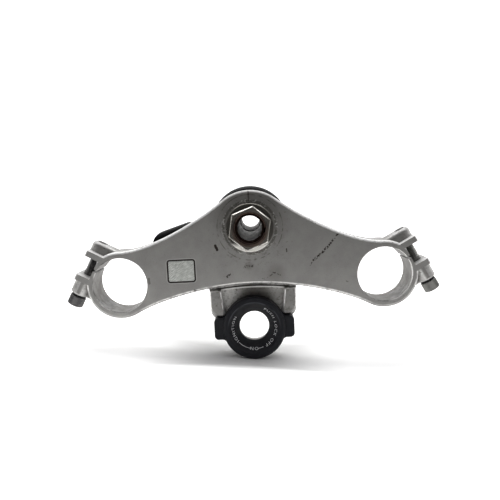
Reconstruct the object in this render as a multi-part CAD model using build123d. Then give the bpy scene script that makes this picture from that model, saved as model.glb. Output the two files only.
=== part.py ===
from build123d import *
from math import asin, atan2, cos, degrees, radians, sin, tan
import os

os.makedirs("parts", exist_ok=True)

# Fork clamps. The origin is on the steering axis, on the yoke's top face. +Y is the rider's side.
fork_spacing = 209.0
fork_lead = 41.3
fork_bore_d = 43.0
clamp_wall = 5.0
clamp_depth = 30.0
bore_chamfer = 0.6
clamp_under_round = 1.2

# Split, ears and bolt bosses of a clamp, in axes turned with the split
ear_turn = 28.3
split_offset = 1.6
split_gap = 2.0
ear_gap = 16.0
ear_wall = 4.5
ear_gap_wall = 2.5
ear_gap_round = 1.5
ear_margin = 6.5
ear_top_corner = 1.5
ear_under_corner = 8.0
bolt_gap = 0.8
thread_boss_d = 14.0
thread_boss_length = 8.2
head_boss_d = 15.0
head_boss_length = 13.0
head_boss_web = 7.0
head_boss_round = 1.4
thread_boss_round = 3.4

# Pinch bolts and their split washers
pinch_d = 8.0
pinch_length = 45.0
pinch_head_d = 13.0
pinch_head_h = 8.0
pinch_socket = 6.0
pinch_socket_depth = 4.0
pinch_head_round = 0.8
pinch_tip_chamfer = 0.8
pinch_hole_clearance = 0.6
thread_clearance = 0.1
pinch_washer_d = 11.8
pinch_washer_t = 1.9
pinch_washer_split = 1.2

# Plate outline and section
plate_depth = 20.0
edge_round = 2.2
under_round = 1.0
hub_rear = 29.1
hub_arc_r = 34.0
hub_arc_sweep = 37.0
rear_pull_hub = 20.0
rear_pull_clamp = 27.0
nose_lead = 44.6
nose_half = 36.0
nose_drop = 3.0
front_sweep = 28.0
front_pull_clamp = 17.5
front_pull_nose = 18.0

# Hollows under the arms
skirt_wall = 6.0
top_skin = 7.0
pocket_hub_wall = 4.0
pocket_round = 2.5
rib_wall = 5.0
rib_x = 62.0
rib_turn = -22.0

# Hub
hub_boss_d = 54.0
hub_depth = 23.0
pad_d = 51.0
pad_rise = 0.5
mark_width = 2.2
mark_depth = 0.8
mark_gap = 1.0

# Steering stem
stem_thread_d = 24.0
stem_seat_d = 30.0
stem_waist_d = 28.4
stem_bore_d = 19.2
stem_foot_bore_d = 18.0
stem_bore_step = 90.0
stem_foot = 151.0
stem_top = 8.5
stem_seat_length = 20.0
stem_chamfer = 1.2
stem_clearance = 0.3

# Stem nut and washer
stem_washer_d = 38.0
stem_washer_t = 2.6
stem_washer_chamfer = 0.6
nut_flats = 30.0
nut_height = 12.0
nut_turn = 20.0
nut_face_d = 32.4
nut_chamfer_angle = 30.0
nut_edge_chamfer = 0.6
nut_mouth_d = 28.0
nut_mouth_depth = 4.5

# Ring nut, claw washer and dust cap under the hub
lock_washer_t = 1.2
claw_count = 2
claw_drop = 4.0
claw_t = 1.2
ring_nut_d = 42.0
ring_nut_h = 7.0
ring_slot_count = 4
ring_slot_width = 5.0
ring_slot_depth = 3.2
claw_clearance = 0.5
ring_nut_chamfer = 0.8
cap_d = 64.6
cap_t = 1.5
cap_depth = 8.0
cap_bend = 4.0

# Bracket for the ignition lock
lock_lead = 81.0
bracket_corner = 9.0
bracket_bite = 8.6
bracket_fillet = 4.5
bracket_overlap = 0.2
floor_drop = 15.0
floor_t = 10.0
lug_drop = 8.0
lug_width = 9.4
lug_lean = 2.4
lug_set = 5.4
lug_side_gap = 0.5
lug_front_gap = 0.5
floor_reach = 4.0
lug_round = 2.0
lug_edge_round = 1.4
lock_seat_inset = 2.0
lock_seat_round = 4.0
lock_hole_inset = 1.5

# Lock surround
ring_d = 50.0
ring_drop = 1.5
ring_rim_round = 2.0
ring_rim = 4.5
ring_hole_d = 24.0
ring_lip = 2.5
ring_ear_out = 7.2
ring_ear_width = 17.6
ring_ear_drop = 4.0
ring_ear_corner = 3.5
ring_ear_root = 4.0
ring_ear_round = 1.0
ring_screw_inset = 5.6
ring_screw_d = 4.0
ring_screw_length = 16.0
ring_screw_head_d = 7.5
ring_screw_head_h = 2.6
ring_screw_head_round = 0.9
ring_screw_slot = 1.0
ring_screw_slot_length = 4.5
ring_screw_slot_depth = 1.2
ring_screw_clearance = 0.4

# Bare plate let into the left arm
name_x = -55.4
name_y = -32.0
name_length = 20.0
name_width = 16.0
name_t = 0.9
name_groove = 1.2
name_corner = 1.2

# Hose guide under the left arm
guide_from_hub = 47.4
guide_overhang = 3.8
guide_lean = 8.3
guide_hole_clearance = 0.4
guide_length = 44.0
guide_t = 2.0
guide_tail = 27.0
guide_hook_drop = 13.0
guide_hook_return = 11.0
guide_bend = 3.0
guide_corner = 12.0
guide_bolt_inset = 19.0
guide_boss_d = 15.0
guide_bolt_d = 6.0
guide_bolt_reach = 10.0
guide_bolt_flats = 10.0
guide_bolt_head_h = 5.0
guide_flange_d = 13.5
guide_flange_t = 1.4
guide_bolt_chamfer = 0.5


fork_x = fork_spacing / 2
fork_y = -fork_lead
bore_r = fork_bore_d / 2
clamp_r = bore_r + clamp_wall
bolt_z = -clamp_depth / 2
ear_gap_root = bore_r + ear_gap_wall
bolt_offset = ear_gap_root + bolt_gap + pinch_d / 2
ear_reach = bolt_offset + ear_margin
lock_y = -lock_lead
ring_r = ring_d / 2
ring_ear_half = ring_r + ring_ear_out
ring_screw_reach = ring_ear_half - ring_screw_inset
bracket_half = ring_r + lug_side_gap + lug_width
bracket_front = lock_lead - ring_ear_width / 2 - lug_front_gap
bracket_root = nose_lead - bracket_bite
lug_rear = nose_lead + lug_set


def upright(sketch, start, end):
    """A solid drawn in plan and extruded from one height to another."""
    return extrude(Pos(0, 0, start) * sketch, amount=end - start)


def across(sketch, start, end):
    """A solid drawn in the X and Z axes and extruded along Y from start to end."""
    return extrude(Plane.XZ.offset(-start) * sketch, amount=start - end)


def at_each(places, sketch):
    """One sketch that holds a copy of the given one at each place."""
    return Sketch() + places * sketch


def both_sides(solid):
    """The solid with its mirror image across the plane of symmetry."""
    return solid + mirror(solid, about=Plane.YZ)


def hexagon(flats):
    """A hexagon given by its width across the flats."""
    return RegularPolygon(radius=flats / 2, side_count=6, major_radius=False)


# Plan outline of the plate
hub_angle = radians(hub_arc_sweep)
front_angle = radians(front_sweep)
nose_r = (nose_half**2 + nose_drop**2) / (2 * nose_drop)
nose_angle = asin(nose_half / nose_r)


def on_arc(centre_y, radius, angle):
    """The point of an arc about a centre on the Y axis, turned from +Y towards +X."""
    return Vector(radius * sin(angle), centre_y + radius * cos(angle))


def rear_edge(inset):
    """The swept rear edge of the right arm, from the hub's arc to the clamp, drawn in by the inset."""
    hub_end = on_arc(hub_rear - hub_arc_r, hub_arc_r - inset, hub_angle)
    hub_pull = hub_end + Vector(cos(hub_angle), -sin(hub_angle)) * rear_pull_hub
    clamp_end = Vector(fork_x, fork_y + clamp_r - inset)
    clamp_pull = clamp_end - Vector(rear_pull_clamp, 0)
    return Bezier(hub_end, hub_pull, clamp_pull, clamp_end)


def front_edge(inset):
    """The swept front edge of the right arm, from the clamp to the nose, drawn in by the inset."""
    rim_r = clamp_r - inset
    clamp_end = Vector(fork_x - rim_r * sin(front_angle), fork_y - rim_r * cos(front_angle))
    clamp_pull = clamp_end - Vector(cos(front_angle), -sin(front_angle)) * front_pull_clamp
    nose_end = on_arc(-nose_lead - nose_r, nose_r + inset, nose_angle)
    nose_pull = nose_end + Vector(cos(nose_angle), -sin(nose_angle)) * front_pull_nose
    return Bezier(clamp_end, clamp_pull, nose_pull, nose_end)


def outline(inset):
    """The plate in plan, drawn in by the inset: hub arc, rear edge, clamp, front edge and nose."""
    rear = rear_edge(inset)
    front = front_edge(inset)
    hub_mid = on_arc(hub_rear - hub_arc_r, hub_arc_r - inset, hub_angle / 2)
    nose_mid = on_arc(-nose_lead - nose_r, nose_r + inset, nose_angle / 2)
    half = [
        ThreePointArc((0, hub_rear - inset), hub_mid, rear @ 0),
        rear,
        ThreePointArc(rear @ 1, (fork_x + clamp_r - inset, fork_y), front @ 0),
        front,
        ThreePointArc(front @ 1, nose_mid, (0, inset - nose_lead)),
    ]
    return make_face(half + [mirror(edge, about=Plane.YZ) for edge in half])


plan = outline(0)
fork_places = Locations((fork_x, fork_y), (-fork_x, fork_y))

# Plate with rounded edges, clamp rings and hub
yoke = upright(plan, -plate_depth, 0)
yoke = fillet(yoke.edges().group_by(Axis.Z)[-1], edge_round)
yoke = fillet(yoke.edges().group_by(Axis.Z)[0], under_round)

# Hollows under the arms, with a rib across each and a boss for the hose guide
arm_edge = rear_edge(0)
guide_point = arm_edge.position_at(guide_from_hub, position_mode=PositionMode.LENGTH)
guide_way = arm_edge.tangent_at(guide_from_hub, position_mode=PositionMode.LENGTH)
guide_turn = degrees(atan2(-guide_way.Y, guide_way.X)) - guide_lean
guide_place = Pos(-guide_point.X, guide_point.Y) * Rot(0, 0, guide_turn) * Pos(0, guide_overhang)
guide_bolt_place = guide_place * Pos(0, -guide_bolt_inset)
guide_boss = guide_bolt_place * Circle(guide_boss_d / 2)
rib = Pos(rib_x, fork_y) * Rot(0, 0, rib_turn) * Rectangle(rib_wall, fork_spacing)
hollow = outline(skirt_wall) - Rectangle(hub_boss_d + 2 * pocket_hub_wall, fork_spacing)
hollow = hollow - fork_places * Circle(clamp_r) - both_sides(rib)
hollow = upright(hollow, -plate_depth, -top_skin)
rib_walls = hollow.faces().filter_by(GeomType.PLANE).filter_by(Axis.Z, reverse=True)
hollow = fillet(rib_walls.edges().filter_by(Axis.Z), pocket_round)
yoke -= hollow - upright(guide_boss, -plate_depth, -top_skin)
yoke += upright(at_each(fork_places, Circle(clamp_r)), -clamp_depth, -top_skin)
yoke = fillet(yoke.edges().group_by(Axis.Z)[0], clamp_under_round)
yoke += upright(Circle(hub_boss_d / 2), -hub_depth, -top_skin)
yoke += upright(Circle(pad_d / 2), -top_skin, pad_rise)

# Ears and bolt bosses, drawn in the axes of one clamp
ear_start = split_offset + ear_gap / 2
ear_end = ear_start + ear_wall
low_ear_start = split_offset - ear_gap / 2
low_ear_end = low_ear_start - ear_wall
ear_profile = Pos(ear_reach / 2, bolt_z) * Rectangle(ear_reach, clamp_depth)
ear_profile = fillet(ear_profile.vertices().group_by(Axis.X)[-1].sort_by(Axis.Y)[-1], ear_top_corner)
ear_profile = fillet(ear_profile.vertices().group_by(Axis.Y)[0].sort_by(Axis.X)[-1], ear_under_corner)
ears = across(ear_profile, ear_start, ear_end) + across(ear_profile, low_ear_end, low_ear_start)


def boss(diameter, web_width, round_r, start, end):
    """A bolt boss with a web back into the clamp ring, rounded at its free end."""
    web = Pos(bolt_offset / 2, bolt_z) * Rectangle(bolt_offset, web_width)
    body = across(web + Pos(bolt_offset, bolt_z) * Circle(diameter / 2), min(start, end), max(start, end))
    free_end = body.faces().filter_by(Axis.Y).sort_by(lambda face: abs(face.center().Y))[-1]
    return fillet(free_end.edges(), round_r)


thread_end = ear_end + thread_boss_length
head_seat = low_ear_end - head_boss_length
ears += boss(thread_boss_d, thread_boss_d, thread_boss_round, ear_end, thread_end)
ears += boss(head_boss_d, head_boss_web, head_boss_round, low_ear_end, head_seat)
clamp_place = Pos(fork_x, fork_y) * Rot(0, 0, ear_turn)
yoke += both_sides(clamp_place * ears)

# Bracket for the lock: a recessed floor that carries the lock's seat, and a raised lug at each side
lock_centre = Pos(0, lock_y)
seat = lock_centre * Circle(ring_r - lock_seat_inset)
seat_ears = RectangleRounded(
    2 * (ring_ear_half - lock_seat_inset),
    ring_ear_width - 2 * lock_seat_inset,
    lock_seat_round,
)
seat += lock_centre * seat_ears
flare_x = bracket_half + bracket_fillet
flare_y = on_arc(-nose_lead - nose_r, nose_r, asin(flare_x / nose_r)).Y + bracket_overlap


def apron(front):
    """The bracket in plan, flared into the nose at its root and rounded at its front corners."""
    foot = bracket_corner - front
    half = [
        Line((0, -bracket_root), (flare_x, -bracket_root)),
        Line((flare_x, -bracket_root), (flare_x, flare_y)),
        CenterArc((flare_x, flare_y - bracket_fillet), bracket_fillet, 90, 90),
        Line((bracket_half, flare_y - bracket_fillet), (bracket_half, foot)),
        CenterArc((bracket_half - bracket_corner, foot), bracket_corner, -90, 90),
        Line((bracket_half - bracket_corner, -front), (0, -front)),
    ]
    return make_face(half + [mirror(edge, about=Plane.YZ) for edge in half])


lug_inner = bracket_half - lug_width
lug_outline = Polyline(
    (bracket_half, -lug_rear),
    (lug_inner, -lug_rear),
    (lug_inner - lug_lean, -bracket_front),
    (bracket_half, -bracket_front),
    close=True,
)
lug = make_face(lug_outline)
lug_corners = lug.vertices().sort_by(Axis.X)
lug = fillet(lug_corners[:2], lug_round)
lug = lug & apron(bracket_front)
bracket = upright(apron(bracket_front + floor_reach) + seat, -floor_drop - floor_t, -floor_drop)
lugs = upright(lug, -floor_drop, -lug_drop)
lugs = fillet(lugs.edges().group_by(Axis.Z)[-1], lug_edge_round)
yoke += bracket + both_sides(lugs)
yoke -= upright(lock_centre * Circle(ring_hole_d / 2 + lock_hole_inset), -floor_drop - floor_t, -floor_drop)

# Bores, splits and bolt holes
stem_hole_r = (stem_thread_d + stem_clearance) / 2
yoke -= upright(Circle(stem_hole_r), -hub_depth, pad_rise)
yoke -= upright(at_each(fork_places, Circle(bore_r)), -clamp_depth, 0)
mouth = Cone(bore_r, bore_r + bore_chamfer, bore_chamfer, align=(Align.CENTER, Align.CENTER, Align.MAX))
yoke -= fork_places * mouth
split = upright(Pos(ear_reach / 2, split_offset) * Rectangle(ear_reach, split_gap), -clamp_depth, 0)
gap = Pos((ear_gap_root + ear_reach) / 2, split_offset) * Rectangle(ear_reach - ear_gap_root, ear_gap)
gap = upright(fillet(gap.vertices().group_by(Axis.X)[0], ear_gap_round), -clamp_depth, 0)
bolt_axis = Pos(bolt_offset, bolt_z)
clear_hole = across(bolt_axis * Circle((pinch_d + pinch_hole_clearance) / 2), head_seat, ear_start)
thread_hole = across(bolt_axis * Circle((pinch_d + thread_clearance) / 2), ear_start, thread_end)
yoke -= both_sides(clamp_place * (split + gap + clear_hole + thread_hole))

# Hose guide thread, lock screw holes, recess for the bare plate and the straight-ahead mark on the hub
guide_thread = guide_bolt_place * Circle((guide_bolt_d + thread_clearance) / 2)
yoke -= upright(guide_thread, -plate_depth, -plate_depth + guide_bolt_reach)
screw_places = Locations((ring_screw_reach, lock_y), (-ring_screw_reach, lock_y))
screw_hole = at_each(screw_places, Circle((ring_screw_d + ring_screw_clearance) / 2))
yoke -= upright(screw_hole, -floor_drop - floor_t, -floor_drop)
name_place = Pos(name_x, name_y)
name_recess = RectangleRounded(
    name_length + 2 * name_groove,
    name_width + 2 * name_groove,
    name_corner + name_groove,
)
yoke -= upright(name_place * name_recess, -name_t, 0)
mark = Polygon((-mark_width / 2, pad_rise), (mark_width / 2, pad_rise), (0, -mark_depth), align=None)
yoke -= across(mark, stem_washer_d / 2 + mark_gap, hub_rear)
export_step(yoke, "parts/top_yoke.step")

# Washer and nut on top of the hub
washer_top = pad_rise + stem_washer_t
stem_washer = upright(Circle(stem_washer_d / 2) - Circle(stem_hole_r), pad_rise, washer_top)
washer_edge = stem_washer.edges().group_by(Axis.Z)[-1].sort_by(SortBy.RADIUS)[-1]
stem_washer = chamfer(washer_edge, stem_washer_chamfer)
export_step(stem_washer, "parts/stem_washer.step")

nut_top = washer_top + nut_height
nut_thread_r = (stem_thread_d + thread_clearance) / 2
stem_nut = upright(Rot(0, 0, nut_turn) * hexagon(nut_flats), washer_top, nut_top)
stem_nut = chamfer(stem_nut.edges().group_by(Axis.Z)[-1], nut_edge_chamfer)
nut_cone_r = nut_face_d / 2 + nut_height / tan(radians(nut_chamfer_angle))
nut_cone = Cone(nut_cone_r, nut_face_d / 2, nut_height, align=(Align.CENTER, Align.CENTER, Align.MAX))
stem_nut = stem_nut & Pos(0, 0, nut_top) * nut_cone
stem_nut -= upright(Circle(nut_thread_r), washer_top, nut_top)
nut_mouth = Cone(nut_thread_r, nut_mouth_d / 2, nut_mouth_depth, align=(Align.CENTER, Align.CENTER, Align.MAX))
stem_nut -= Pos(0, 0, nut_top) * nut_mouth
export_step(stem_nut, "parts/stem_nut.step")

# Claw washer, slotted ring nut and dust cap stacked under the hub
lock_washer_foot = -hub_depth - lock_washer_t
ring_nut_foot = lock_washer_foot - ring_nut_h
lock_washer = upright(Circle(ring_nut_d / 2) - Circle(stem_hole_r), lock_washer_foot, -hub_depth)
claw = Pos(ring_nut_d / 2 - claw_t / 2, 0) * Rectangle(claw_t, ring_slot_width - claw_clearance)
claw = upright(claw & Circle(ring_nut_d / 2), lock_washer_foot - claw_drop, -hub_depth)
lock_washer += PolarLocations(0, claw_count) * claw
export_step(lock_washer, "parts/lock_washer.step")

adjuster_nut = upright(Circle(ring_nut_d / 2), ring_nut_foot, lock_washer_foot)
adjuster_nut = chamfer(adjuster_nut.edges().filter_by(GeomType.CIRCLE), ring_nut_chamfer)
slot = Pos(ring_nut_d / 2, 0) * Rectangle(2 * ring_slot_depth, ring_slot_width)
adjuster_nut -= PolarLocations(0, ring_slot_count) * upright(slot, ring_nut_foot, lock_washer_foot)
adjuster_nut -= upright(Circle(nut_thread_r), ring_nut_foot, lock_washer_foot)
export_step(adjuster_nut, "parts/adjuster_nut.step")

cap_r = cap_d / 2
cap_line = Polyline((stem_hole_r, 0), (cap_r - cap_t / 2, 0), (cap_r - cap_t / 2, -cap_depth))
cap_line = fillet(cap_line.vertices().sort_by_distance((cap_r, 0))[:1], cap_bend)
cap_section = trace(cap_line, cap_t)
dust_cap = revolve(Plane.XZ * Pos(0, ring_nut_foot - cap_t / 2) * cap_section, Axis.Z)
export_step(dust_cap, "parts/dust_cap.step")

# Hollow stem: threaded top, shoulder under the cap, two bearing seats and a stepped bore
thread_r = stem_thread_d / 2
seat_r = stem_seat_d / 2
waist_r = stem_waist_d / 2
shoulder = ring_nut_foot - cap_t
stem_section = Polygon(
    (stem_bore_d / 2, stem_top),
    (thread_r - stem_chamfer, stem_top),
    (thread_r, stem_top - stem_chamfer),
    (thread_r, shoulder),
    (seat_r, shoulder),
    (seat_r, shoulder - stem_seat_length),
    (waist_r, shoulder - stem_seat_length - (seat_r - waist_r)),
    (waist_r, stem_seat_length - stem_foot + (seat_r - waist_r)),
    (seat_r, stem_seat_length - stem_foot),
    (seat_r, stem_chamfer - stem_foot),
    (seat_r - stem_chamfer, -stem_foot),
    (stem_foot_bore_d / 2, -stem_foot),
    (stem_foot_bore_d / 2, -stem_bore_step),
    (stem_bore_d / 2, -stem_bore_step),
    align=None,
)
steering_stem = revolve(Plane.XZ * stem_section, Axis.Z)
export_step(steering_stem, "parts/steering_stem.step")

# Pinch bolts and their split washers
washer_seat = head_seat - pinch_washer_t
pinch_bolt = across(bolt_axis * Circle(pinch_d / 2), washer_seat, washer_seat + pinch_length)
pinch_bolt = chamfer(pinch_bolt.edges().group_by(Axis.Y)[-1], pinch_tip_chamfer)
pinch_head = across(bolt_axis * Circle(pinch_head_d / 2), washer_seat - pinch_head_h, washer_seat)
pinch_head = fillet(pinch_head.edges().group_by(Axis.Y)[0], pinch_head_round)
socket = bolt_axis * hexagon(pinch_socket)
pinch_bolt += pinch_head
pinch_bolt -= across(socket, washer_seat - pinch_head_h, washer_seat - pinch_head_h + pinch_socket_depth)
pinch_washer = Circle(pinch_washer_d / 2) - Circle((pinch_d + thread_clearance) / 2)
pinch_washer -= Pos(0, pinch_washer_d / 4) * Rectangle(pinch_washer_split, pinch_washer_d / 2)
pinch_washer = across(bolt_axis * pinch_washer, washer_seat, head_seat)
for piece, name in ((pinch_bolt, "pinch_bolt"), (pinch_washer, "pinch_washer")):
    placed = clamp_place * piece
    export_step(placed, f"parts/right_{name}.step")
    export_step(mirror(placed, about=Plane.YZ), f"parts/left_{name}.step")

# Lock surround: a deep ring with a dished face and two ears, screwed on from behind the bracket
ring_foot = -floor_drop
ears_plan = Circle(ring_r) + RectangleRounded(2 * ring_ear_half, ring_ear_width, ring_ear_corner)
ear_roots = ears_plan.vertices().sort_by(lambda corner: abs(corner.X))[:4]
ears_plan = fillet(ear_roots, ring_ear_root)
lock_ring = upright(lock_centre * ears_plan, ring_foot, -ring_ear_drop)
lock_ring = fillet(lock_ring.edges().group_by(Axis.Z)[-1], ring_ear_round)
drum = upright(lock_centre * Circle(ring_r), ring_foot, -ring_drop)
drum = fillet(drum.edges().group_by(Axis.Z)[-1], ring_rim_round)
lock_ring += drum
dish_depth = floor_drop - ring_drop - ring_lip
dish = Cone(ring_hole_d / 2, ring_r - ring_rim, dish_depth, align=(Align.CENTER, Align.CENTER, Align.MAX))
lock_ring -= Pos(0, lock_y, -ring_drop) * dish
lock_ring -= upright(lock_centre * Circle(ring_hole_d / 2), ring_foot, -ring_drop)
screw_tip = -floor_drop - floor_t + ring_screw_length
screw_thread = at_each(screw_places, Circle((ring_screw_d + thread_clearance) / 2))
lock_ring -= upright(screw_thread, ring_foot, screw_tip + thread_clearance)
export_step(lock_ring, "parts/lock_ring.step")

screw_seat = -floor_drop - floor_t
ring_screw = upright(Circle(ring_screw_d / 2), screw_seat, screw_tip)
ring_screw_head = upright(Circle(ring_screw_head_d / 2), screw_seat - ring_screw_head_h, screw_seat)
ring_screw += fillet(ring_screw_head.edges().group_by(Axis.Z)[0], ring_screw_head_round)
for turn in (0, 90):
    slot = Rot(0, 0, turn) * Rectangle(ring_screw_slot, ring_screw_slot_length)
    slot_foot = screw_seat - ring_screw_head_h
    ring_screw -= upright(slot, slot_foot, slot_foot + ring_screw_slot_depth)
export_step(Pos(ring_screw_reach, lock_y) * ring_screw, "parts/right_ring_screw.step")
export_step(Pos(-ring_screw_reach, lock_y) * ring_screw, "parts/left_ring_screw.step")

# Bare plate let into the left arm
name_plate = upright(RectangleRounded(name_length, name_width, name_corner), -name_t, 0)
export_step(name_place * name_plate, "parts/name_plate.step")

# Hose guide: a strip bolted under the arm, turned down past the rear edge and hooked back
guide_mid = guide_t / 2
guide_path = Polyline(
    (-guide_tail, -plate_depth - guide_mid),
    (-guide_mid, -plate_depth - guide_mid),
    (-guide_mid, -plate_depth - guide_hook_drop + guide_mid),
    (-guide_hook_return, -plate_depth - guide_hook_drop + guide_mid),
)
guide_corners = guide_path.vertices().group_by(Axis.X)[-1]
guide_path = fillet(guide_corners, guide_bend)
guide_section = Plane.YZ.offset(-guide_length / 2) * trace(guide_path, guide_t)
hose_guide = extrude(guide_section, amount=guide_length)
guide_plan = Pos(0, -guide_tail / 2) * RectangleRounded(guide_length, guide_tail, guide_corner)
hose_guide = hose_guide & upright(guide_plan, -plate_depth - guide_hook_drop, -plate_depth)
hose_guide = guide_place * hose_guide
guide_hole = guide_bolt_place * Circle((guide_bolt_d + guide_hole_clearance) / 2)
guide_under = -plate_depth - guide_t
hose_guide -= upright(guide_hole, guide_under, -plate_depth)
export_step(hose_guide, "parts/hose_guide.step")

guide_flange = upright(Circle(guide_flange_d / 2), guide_under - guide_flange_t, guide_under)
guide_head = upright(hexagon(guide_bolt_flats), guide_under - guide_flange_t - guide_bolt_head_h, guide_under)
guide_bolt = guide_flange + guide_head
guide_tip = -plate_depth + guide_bolt_reach - guide_bolt_chamfer
guide_shank = upright(Circle(guide_bolt_d / 2), guide_under, guide_tip)
guide_bolt += chamfer(guide_shank.edges().group_by(Axis.Z)[-1], guide_bolt_chamfer)
export_step(guide_bolt_place * guide_bolt, "parts/hose_guide_bolt.step")
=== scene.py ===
from math import atan2, cos, pi, radians, sin
import bmesh
import bpy
from mathutils import Matrix, Vector


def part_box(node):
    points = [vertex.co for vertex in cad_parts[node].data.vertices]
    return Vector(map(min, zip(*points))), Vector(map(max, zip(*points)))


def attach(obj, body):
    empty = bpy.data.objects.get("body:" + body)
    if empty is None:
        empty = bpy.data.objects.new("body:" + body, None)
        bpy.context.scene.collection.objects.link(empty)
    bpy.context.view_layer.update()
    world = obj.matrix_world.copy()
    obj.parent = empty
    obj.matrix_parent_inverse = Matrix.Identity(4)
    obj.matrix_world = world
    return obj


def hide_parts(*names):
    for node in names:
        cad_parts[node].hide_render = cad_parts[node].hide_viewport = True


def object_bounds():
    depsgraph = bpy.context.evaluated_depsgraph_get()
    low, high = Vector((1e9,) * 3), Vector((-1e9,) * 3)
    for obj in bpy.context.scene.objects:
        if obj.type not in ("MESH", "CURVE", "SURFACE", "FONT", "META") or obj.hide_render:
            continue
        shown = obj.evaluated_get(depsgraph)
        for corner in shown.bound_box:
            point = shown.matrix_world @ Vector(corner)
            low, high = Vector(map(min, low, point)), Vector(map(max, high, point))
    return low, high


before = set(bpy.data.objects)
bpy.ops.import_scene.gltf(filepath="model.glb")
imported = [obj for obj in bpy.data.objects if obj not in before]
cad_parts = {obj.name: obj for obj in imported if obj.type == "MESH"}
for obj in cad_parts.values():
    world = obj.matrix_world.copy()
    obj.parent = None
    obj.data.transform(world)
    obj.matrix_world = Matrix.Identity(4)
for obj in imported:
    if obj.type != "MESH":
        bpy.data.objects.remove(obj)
cad_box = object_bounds()


# Top yoke: one aluminium casting with the hub, both arms, the split fork clamps and the bracket for the lock.
# It was blasted and coated a satin grey. The coat is rubbed pale on the rounded edges, partly as wear and partly
# as painted highlight. Painted highlights also whiten the rear edges, the lugs, the bore lips and a line along
# the foot of the front wall, and painted shade darkens the lower walls, the hub's rear, the bracket floor, the
# recess round the plate and the foot of the front wall. Years of use have left grime round the hub, nicks along
# the front edge and a long scratch across the right arm.
def join(tree, value, socket):
    """A socket set to a value, or joined to the socket that the value is."""
    if isinstance(value, bpy.types.NodeSocket):
        tree.links.new(value, socket)
    else:
        socket.default_value = value


def add_node(tree, kind, inputs=None, **settings):
    """One shader node with its settings, and its sockets set to values or joined to other sockets."""
    made = tree.nodes.new("ShaderNode" + kind)
    for name, value in settings.items():
        setattr(made, name, value)
    for name, value in (inputs or {}).items():
        join(tree, value, made.inputs[name])
    return made


def start_group(name, inputs, outputs):
    """A shader node group with named sockets: its tree, what comes in and what goes out."""
    tree = bpy.data.node_groups.new(name, "ShaderNodeTree")
    for socket, kind in inputs.items():
        tree.interface.new_socket(socket, in_out="INPUT", socket_type="NodeSocket" + kind)
    for socket, kind in outputs.items():
        tree.interface.new_socket(socket, in_out="OUTPUT", socket_type="NodeSocket" + kind)
    return tree, tree.nodes.new("NodeGroupInput").outputs, tree.nodes.new("NodeGroupOutput").inputs


def place_group(tree, group, **inputs):
    """The outputs of a node group that is placed in a material with its own values."""
    return add_node(tree, "Group", inputs, node_tree=group).outputs


def maths(tree, operation, first, second=0.0, third=0.0):
    """The output of one sum on numbers or sockets."""
    return add_node(tree, "Math", {0: first, 1: second, 2: third}, operation=operation).outputs[0]


def overlap(tree, first, *others):
    """The product of masks, which is full where all of them are."""
    for other in others:
        first = maths(tree, "MULTIPLY", first, other)
    return first


def either(tree, first, *others):
    """The largest of masks, which is full where any of them is."""
    for other in others:
        first = maths(tree, "MAXIMUM", first, other)
    return first


def shift(tree, value, mask, step):
    """A value that is changed by the step where the mask is full."""
    return maths(tree, "MULTIPLY_ADD", mask, step, value)


def fade(tree, value, low, high):
    """A smooth mask that rises from 0 at low to 1 at high, or falls if low is the larger."""
    inputs = {"Value": value, "From Min": low, "From Max": high}
    return add_node(tree, "MapRange", inputs, interpolation_type="SMOOTHSTEP").outputs["Result"]


def vectors(tree, operation, first, second=(0.0, 0.0, 0.0)):
    """The output of one sum on vectors, which is a number for a length, a distance or a dot product."""
    made = add_node(tree, "VectorMath", {0: first, 1: second}, operation=operation)
    numbers = ("LENGTH", "DISTANCE", "DOT_PRODUCT")
    return made.outputs["Value" if operation in numbers else "Vector"]


def scaled(tree, vector, share):
    """A vector made longer or shorter by a share."""
    return add_node(tree, "VectorMath", {0: vector, "Scale": share}, operation="SCALE").outputs["Vector"]


def axes(tree, vector):
    """The X, Y and Z of a vector."""
    return add_node(tree, "SeparateXYZ", {0: vector}).outputs


def axis_reach(tree, place):
    """The distance of a place from the upright axis through the origin."""
    return vectors(tree, "LENGTH", vectors(tree, "MULTIPLY", place, (1.0, 1.0, 0.0)))


def object_place(tree):
    """The place on the piece, in the frame that all pieces share."""
    return add_node(tree, "TexCoord").outputs["Object"]


def surface_normal(tree):
    """The way that the surface faces."""
    return add_node(tree, "NewGeometry").outputs["Normal"]


def noise(tree, place, scale, detail, roughness=0.5):
    """The outputs of a cloudy pattern over a place."""
    inputs = {"Vector": place, "Scale": scale, "Detail": detail, "Roughness": roughness}
    return add_node(tree, "TexNoise", inputs).outputs


def mix_colour(tree, factor, first, second):
    """The output of a colour mix, where each end is a colour or a socket."""
    return add_node(tree, "Mix", {0: factor, 6: first, 7: second}, data_type="RGBA").outputs[2]


def lay(tree, colour, over, mask, share=1.0):
    """A colour with another laid over it where the mask is, by a share of the mask."""
    return mix_colour(tree, overlap(tree, mask, share), colour, over)


def new_finish(name, **sockets):
    """A material with its Principled shader and the shader's plain values. Underscores stand for spaces."""
    material = bpy.data.materials.new(name)
    material.use_nodes = True
    shader = material.node_tree.nodes["Principled BSDF"]
    for socket, value in sockets.items():
        shader.inputs[socket.replace("_", " ")].default_value = value
    return material, material.node_tree, shader


def surface(tree, shader, colour, rough, relief, strength, depth=0.0002):
    """The colour, roughness and fine relief of a finish, joined to its shader."""
    bump = add_node(tree, "Bump", {"Height": relief, "Strength": strength, "Distance": depth})
    tree.links.new(colour, shader.inputs["Base Color"])
    tree.links.new(rough, shader.inputs["Roughness"])
    tree.links.new(bump.outputs["Normal"], shader.inputs["Normal"])


def dress(material, *node_names):
    """The finish goes into the slots of pieces of the frame."""
    for node_name in node_names:
        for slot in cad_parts[node_name].material_slots:
            slot.material = material


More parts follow.
